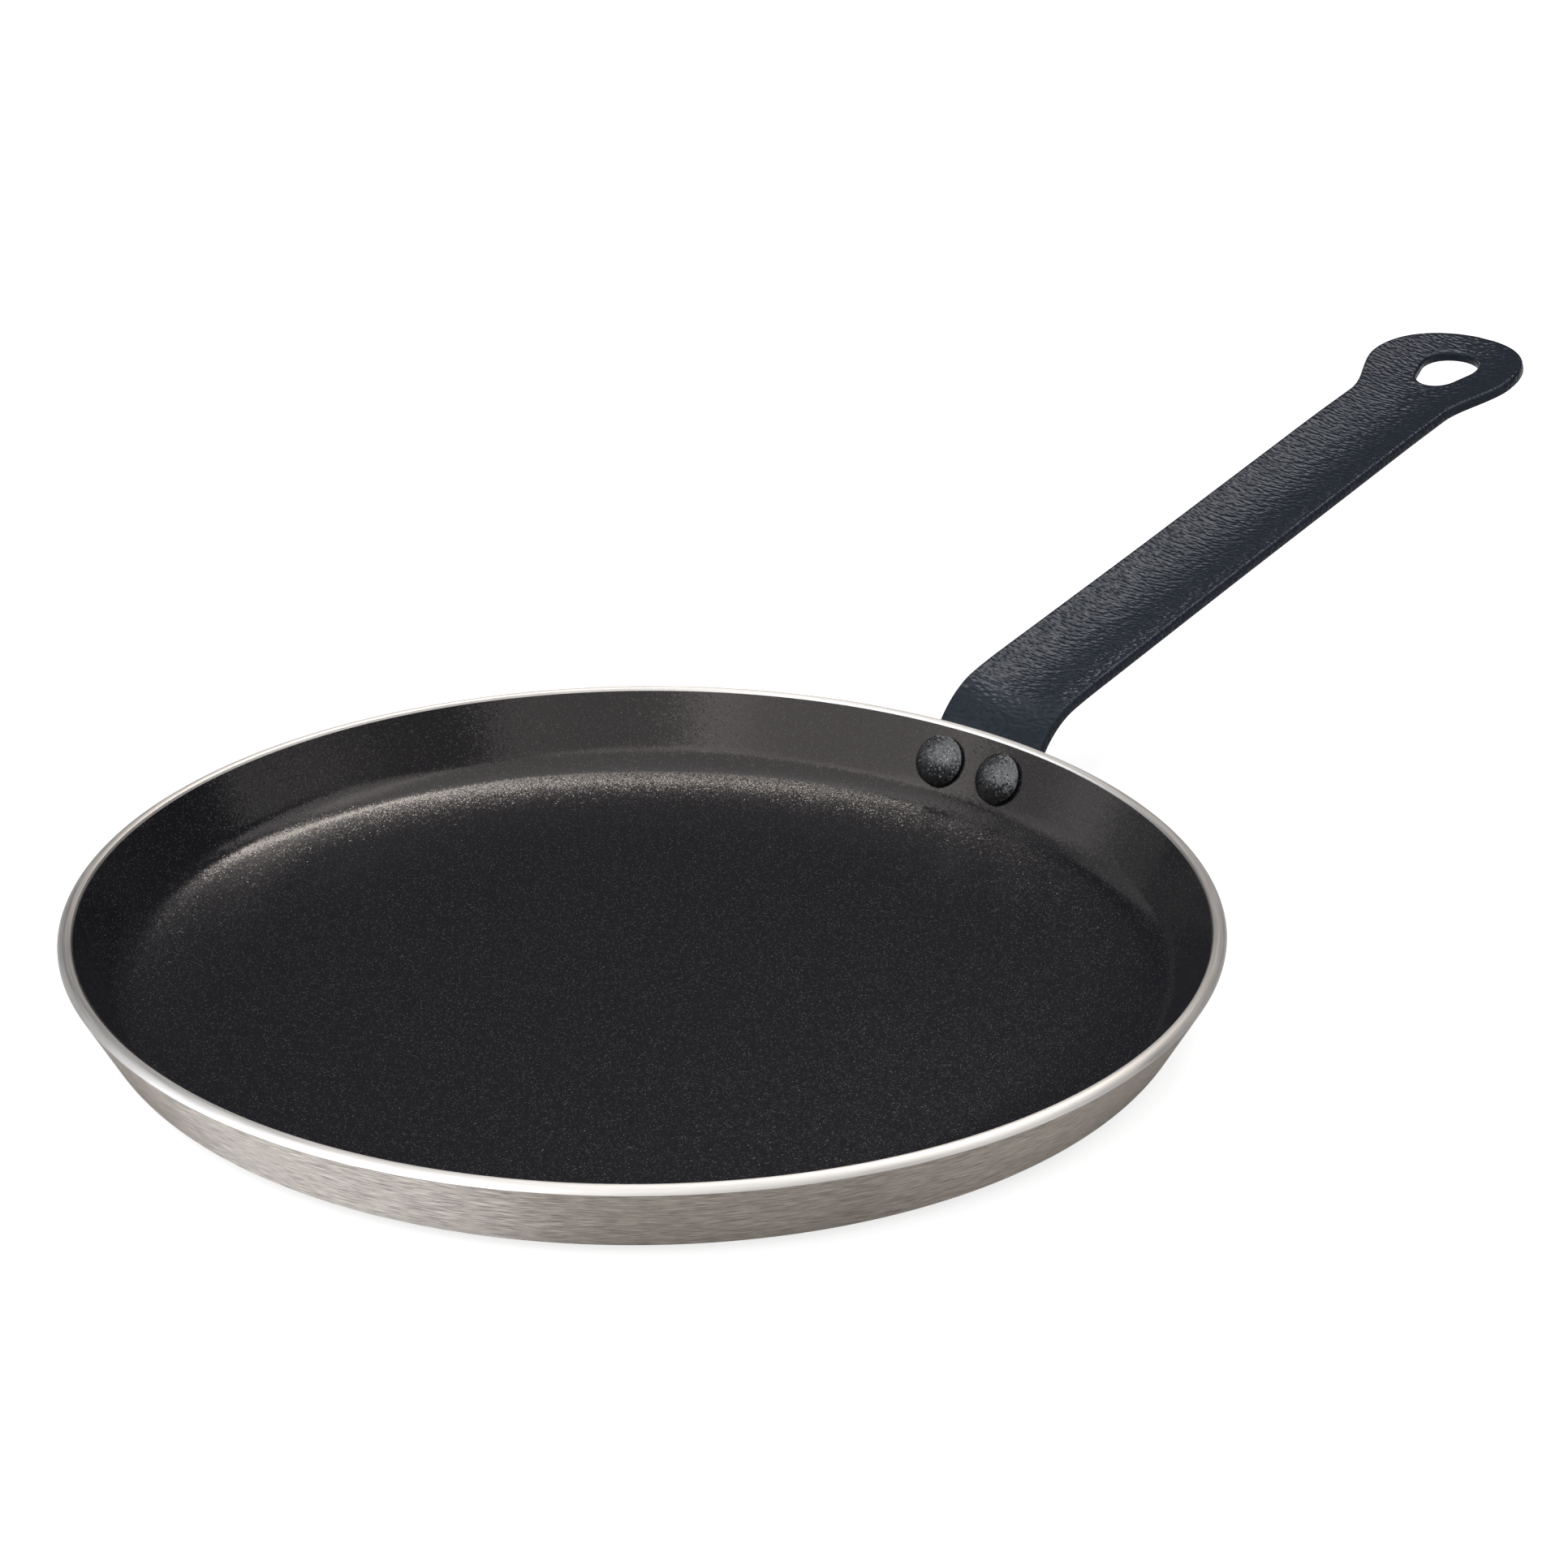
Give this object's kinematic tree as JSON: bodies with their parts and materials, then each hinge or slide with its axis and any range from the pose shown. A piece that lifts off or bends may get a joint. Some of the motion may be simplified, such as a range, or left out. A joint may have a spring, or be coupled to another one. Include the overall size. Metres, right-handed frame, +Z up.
{
  "type": "crepe pan",
  "caption": "Shallow round crepe pan with a flared wall and a dark non-stick lining, and a long dished strip handle riveted to the wall and ending in a hanging eye.",
  "frame": {"origin": "centre of the base, on the surface that the pan stands on", "axes": "+X along the handle, away from the pan; +Z up out of the pan; +Y to the left of someone looking along the handle from the pan"},
  "size_m": [0.4756, 0.26, 0.0564],
  "materials": {
    "body_aluminium": "brushed round the side, turned bright on the rim",
    "lining": "satin non-stick film with a fine bright speckle",
    "handle_coat": "black powder coat with a leather grain",
    "rivet": "dark coated head, bare upset tail"
  },
  "bodies": {
    "root": {"pan_body": "body_aluminium", "nonstick_lining": "lining", "handle": "handle_coat", "rivet_left": "rivet", "rivet_right": "rivet"}
  },
  "joints": []
}
